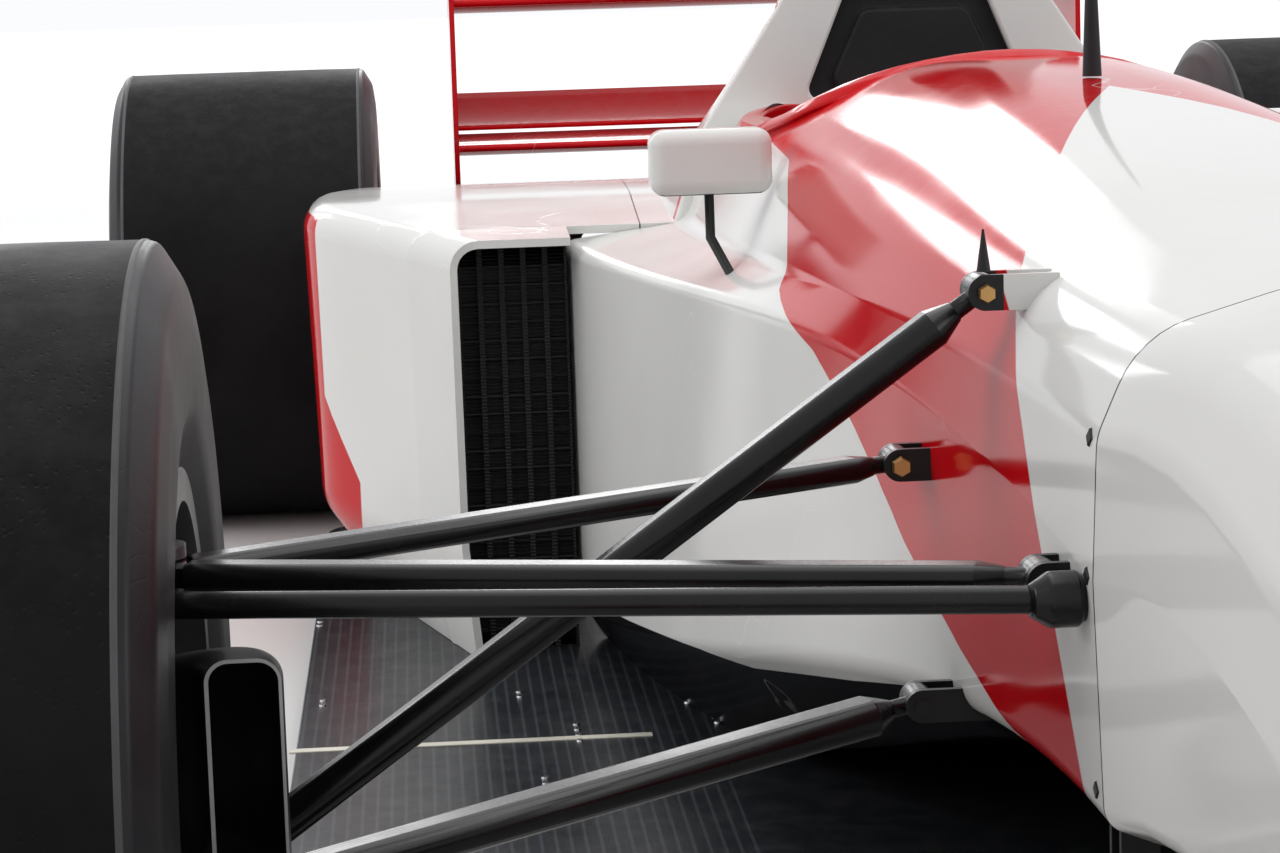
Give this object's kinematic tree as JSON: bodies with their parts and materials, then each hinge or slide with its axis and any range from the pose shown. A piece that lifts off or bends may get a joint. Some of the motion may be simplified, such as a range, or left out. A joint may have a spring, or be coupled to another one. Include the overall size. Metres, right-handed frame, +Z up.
{
  "type": "open wheel racing car",
  "caption": "Single-seat open wheel racing car with slick tyres, wings, side pods, steering front wheels and free-turning wheels.",
  "frame": {"origin": "on the ground under the middle of the car's box", "axes": "+Z up, the nose points along -Y, the car's left is +X"},
  "size_m": [1.996, 4.482, 0.95],
  "materials": {
    "body_paint": "gloss clear coat",
    "wing_paint": "gloss clear coat",
    "red_paint": "gloss clear coat",
    "carbon": "satin woven carbon",
    "trim_black": "matt",
    "radiator_black": "matt black core",
    "cast_metal": "cast",
    "lamp_red": "clear red lens",
    "exhaust_steel": "heat tinted",
    "brass_fitting": "worn",
    "tube_black": "satin",
    "machined_steel": "machined",
    "upright_metal": "anodised",
    "caliper_grey": "anodised",
    "tyre": "slick, satin",
    "rim_metal": "satin magnesium"
  },
  "bodies": {
    "chassis": {"monocoque": "body_paint", "nose_cone": "body_paint", "side_pod_left": "body_paint", "side_pod_right": "body_paint", "engine_cover": "body_paint", "mirrors": "body_paint", "front_wing": "wing_paint", "front_flaps": "wing_paint", "front_endplates": "wing_paint", "rear_wing_upper": "red_paint", "rear_wing_lower": "red_paint", "rear_endplate_left": "red_paint", "rear_endplate_right": "red_paint", "floor": "carbon", "diffuser": "carbon", "headrest": "trim_black", "seat": "carbon", "antenna": "trim_black", "radiators": "radiator_black", "engine_block": "cast_metal", "gearbox": "cast_metal", "rear_crash_structure": "carbon", "rain_light": "lamp_red", "tailpipes": "exhaust_steel", "front_brackets": "brass_fitting", "rear_brackets": "brass_fitting", "front_upper_wishbone_left": "tube_black", "front_upper_wishbone_right": "tube_black", "front_lower_wishbone_left": "tube_black", "front_lower_wishbone_right": "tube_black", "front_pushrods": "tube_black", "rear_wishbones_left": "tube_black", "rear_wishbones_right": "tube_black", "rear_links": "tube_black", "rear_uprights": "upright_metal", "rear_calipers": "caliper_grey"},
    "knuckle_left": {"front_upright_left": "upright_metal", "front_caliper_left": "caliper_grey", "front_brake_duct_left": "carbon"},
    "knuckle_right": {"front_upright_right": "upright_metal", "front_caliper_right": "caliper_grey", "front_brake_duct_right": "carbon"},
    "rack": {"steering_rack": "tube_black"},
    "helm": {"steering_wheel": "trim_black", "steering_column": "machined_steel"},
    "wheel_front_left": {"front_tyre_left": "tyre", "front_rim_left": "rim_metal", "front_hub_left": "machined_steel"},
    "wheel_front_right": {"front_tyre_right": "tyre", "front_rim_right": "rim_metal", "front_hub_right": "machined_steel"},
    "wheel_rear_left": {"rear_tyre_left": "tyre", "rear_rim_left": "rim_metal", "rear_hub_left": "machined_steel", "driveshaft_left": "machined_steel"},
    "wheel_rear_right": {"rear_tyre_right": "tyre", "rear_rim_right": "rim_metal", "rear_hub_right": "machined_steel", "driveshaft_right": "machined_steel"}
  },
  "joints": [
    {"name": "steer_right", "type": "hinge", "parent": "chassis", "child": "knuckle_right", "pos_m": [-0.725, -1.161, 0.32], "axis": [0, 0, 1], "range_deg": [-16, 16]},
    {"name": "steer_left", "type": "hinge", "parent": "chassis", "child": "knuckle_left", "pos_m": [0.725, -1.161, 0.32], "axis": [0, 0, 1], "range_deg": [-16, 16]},
    {"name": "rack_slide", "type": "slide", "parent": "chassis", "child": "rack", "axis": [1, 0, 0], "range_m": [-0.02104, 0.02104]},
    {"name": "helm_turn", "type": "hinge", "parent": "chassis", "child": "helm", "pos_m": [0, 0.015, 0.566], "axis": [0, 0.9955, 0.0944], "range_deg": [-176.1, 176.1]},
    {"name": "spin_front_left", "type": "hinge", "parent": "knuckle_left", "child": "wheel_front_left", "pos_m": [0.845, -1.161, 0.32], "axis": [1, 0, 0], "continuous": true},
    {"name": "spin_rear_left", "type": "hinge", "parent": "chassis", "child": "wheel_rear_left", "pos_m": [0.8075, 1.741, 0.33], "axis": [1, 0, 0], "continuous": true},
    {"name": "spin_front_right", "type": "hinge", "parent": "knuckle_right", "child": "wheel_front_right", "pos_m": [-0.845, -1.161, 0.32], "axis": [1, 0, 0], "continuous": true},
    {"name": "spin_rear_right", "type": "hinge", "parent": "chassis", "child": "wheel_rear_right", "pos_m": [-0.8075, 1.741, 0.33], "axis": [1, 0, 0], "continuous": true}
  ],
  "couplings": [
    {"joint": "steer_left", "follows": "steer_right", "ratio": 1},
    {"joint": "rack_slide", "follows": "steer_right", "m_per_rad": 0.075},
    {"joint": "helm_turn", "follows": "steer_right", "ratio": 11}
  ]
}
